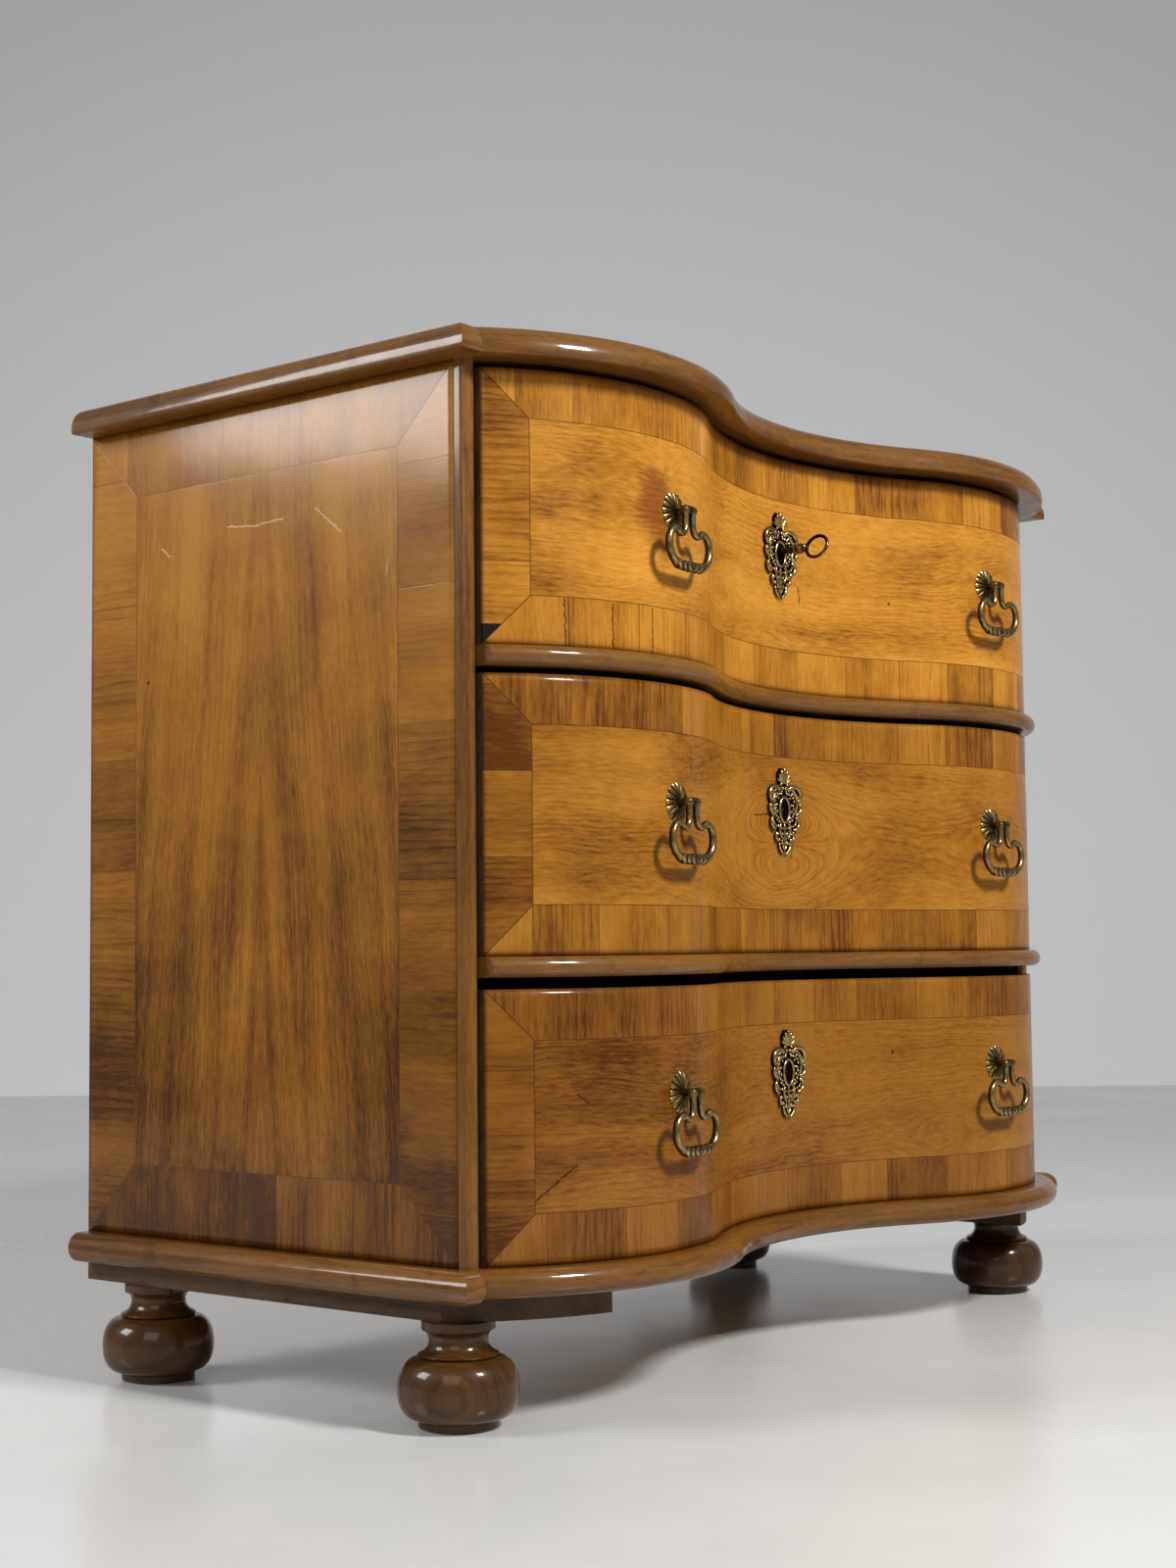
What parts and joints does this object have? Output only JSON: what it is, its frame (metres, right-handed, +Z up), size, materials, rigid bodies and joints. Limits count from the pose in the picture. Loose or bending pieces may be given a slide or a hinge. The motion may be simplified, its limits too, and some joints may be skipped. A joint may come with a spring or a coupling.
{
  "type": "serpentine chest of drawers",
  "caption": "Walnut-veneered chest of drawers with a serpentine front, half-round mouldings, turned bun feet, hanging brass bails and shaped keyhole plates.",
  "frame": {"origin": "on the floor, under the middle of the whole chest", "axes": "+X to the right, +Y to the back, +Z up; the drawers face -Y"},
  "size_m": [0.942, 0.5247, 0.84],
  "materials": {
    "walnut_veneer": "polished veneer",
    "walnut_solid": "polished solid wood",
    "stained_wood": "dark polished wood",
    "pine": "bare aged softwood",
    "brass": "antique cast brass",
    "iron": "dark forged iron"
  },
  "bodies": {
    "carcass": {"side_panel_left": "walnut_veneer", "side_panel_right": "walnut_veneer", "back_boards": "pine", "bottom_board": "pine", "top_board": "walnut_veneer", "top_moulding_left": "walnut_solid", "top_moulding_right": "walnut_solid", "top_moulding_corners": "walnut_solid", "top_moulding_front": "walnut_solid", "base_moulding_left": "walnut_solid", "base_moulding_right": "walnut_solid", "base_moulding_corners": "walnut_solid", "base_moulding_front": "walnut_solid", "corner_beads": "walnut_solid", "rail_upper": "pine", "rail_lower": "pine", "rail_bead_upper": "walnut_solid", "rail_bead_lower": "walnut_solid", "runners_upper": "pine", "runners_lower": "pine", "kickers": "pine", "foot_bearers": "pine", "foot_front_left": "stained_wood", "foot_front_right": "stained_wood", "foot_back_left": "stained_wood", "foot_back_right": "stained_wood"},
    "drawer_top": {"drawer_top_front": "walnut_veneer", "drawer_top_sides": "pine", "drawer_top_back": "pine", "drawer_top_bottom": "pine", "drawer_top_lock_case": "iron", "drawer_top_keyhole_plate": "brass", "drawer_top_rosettes": "brass", "drawer_top_pull_posts": "brass"},
    "drawer_top_lock_bolt": {"drawer_top_lock_bolt": "iron"},
    "drawer_top_bail_left": {"drawer_top_bail_left": "brass"},
    "drawer_top_bail_right": {"drawer_top_bail_right": "brass"},
    "drawer_middle": {"drawer_middle_front": "walnut_veneer", "drawer_middle_sides": "pine", "drawer_middle_back": "pine", "drawer_middle_bottom": "pine", "drawer_middle_lock_case": "iron", "drawer_middle_keyhole_plate": "brass", "drawer_middle_rosettes": "brass", "drawer_middle_pull_posts": "brass"},
    "drawer_middle_lock_bolt": {"drawer_middle_lock_bolt": "iron"},
    "drawer_middle_bail_left": {"drawer_middle_bail_left": "brass"},
    "drawer_middle_bail_right": {"drawer_middle_bail_right": "brass"},
    "drawer_bottom": {"drawer_bottom_front": "walnut_veneer", "drawer_bottom_sides": "pine", "drawer_bottom_back": "pine", "drawer_bottom_bottom": "pine", "drawer_bottom_lock_case": "iron", "drawer_bottom_keyhole_plate": "brass", "drawer_bottom_rosettes": "brass", "drawer_bottom_pull_posts": "brass"},
    "drawer_bottom_lock_bolt": {"drawer_bottom_lock_bolt": "iron"},
    "drawer_bottom_bail_left": {"drawer_bottom_bail_left": "brass"},
    "drawer_bottom_bail_right": {"drawer_bottom_bail_right": "brass"},
    "key": {"key": "iron"}
  },
  "joints": [
    {"name": "drawer_top_slide", "type": "slide", "parent": "carcass", "child": "drawer_top", "axis": [0, -1, 0], "range_m": [0, 0.3]},
    {"name": "drawer_top_bolt_throw", "type": "slide", "parent": "drawer_top", "child": "drawer_top_lock_bolt", "axis": [0, 0, 1], "range_m": [0, 0.0145]},
    {"name": "drawer_top_bail_left_swing", "type": "hinge", "parent": "drawer_top", "child": "drawer_top_bail_left", "pos_m": [-0.25876, -0.25255, 0.7145], "axis": [-0.9966, -0.0829, 0], "range_deg": [-12, 110]},
    {"name": "drawer_top_bail_right_swing", "type": "hinge", "parent": "drawer_top", "child": "drawer_top_bail_right", "pos_m": [0.25876, -0.25255, 0.7145], "axis": [-0.9966, 0.0829, 0], "range_deg": [-12, 110]},
    {"name": "drawer_middle_slide", "type": "slide", "parent": "carcass", "child": "drawer_middle", "axis": [0, -1, 0], "range_m": [0, 0.3]},
    {"name": "drawer_middle_bolt_throw", "type": "slide", "parent": "drawer_middle", "child": "drawer_middle_lock_bolt", "axis": [0, 0, 1], "range_m": [0, 0.0145]},
    {"name": "drawer_middle_bail_left_swing", "type": "hinge", "parent": "drawer_middle", "child": "drawer_middle_bail_left", "pos_m": [-0.25876, -0.25255, 0.478], "axis": [-0.9966, -0.0829, 0], "range_deg": [-12, 110]},
    {"name": "drawer_middle_bail_right_swing", "type": "hinge", "parent": "drawer_middle", "child": "drawer_middle_bail_right", "pos_m": [0.25876, -0.25255, 0.478], "axis": [-0.9966, 0.0829, 0], "range_deg": [-12, 110]},
    {"name": "drawer_bottom_slide", "type": "slide", "parent": "carcass", "child": "drawer_bottom", "axis": [0, -1, 0], "range_m": [0, 0.3]},
    {"name": "drawer_bottom_bolt_throw", "type": "slide", "parent": "drawer_bottom", "child": "drawer_bottom_lock_bolt", "axis": [0, 0, 1], "range_m": [0, 0.018]},
    {"name": "drawer_bottom_bail_left_swing", "type": "hinge", "parent": "drawer_bottom", "child": "drawer_bottom_bail_left", "pos_m": [-0.25876, -0.25255, 0.2465], "axis": [-0.9966, -0.0829, 0], "range_deg": [-12, 110]},
    {"name": "drawer_bottom_bail_right_swing", "type": "hinge", "parent": "drawer_bottom", "child": "drawer_bottom_bail_right", "pos_m": [0.25876, -0.25255, 0.2465], "axis": [-0.9966, 0.0829, 0], "range_deg": [-12, 110]},
    {"name": "key_turn", "type": "hinge", "parent": "drawer_top", "child": "key", "pos_m": [0, -0.16554, 0.7245], "axis": [0, 1, 0], "range_deg": [0, 270]}
  ],
  "couplings": [
    {"joint": "key_turn", "follows": "drawer_top_bolt_throw", "rad_per_m": 324.99}
  ]
}
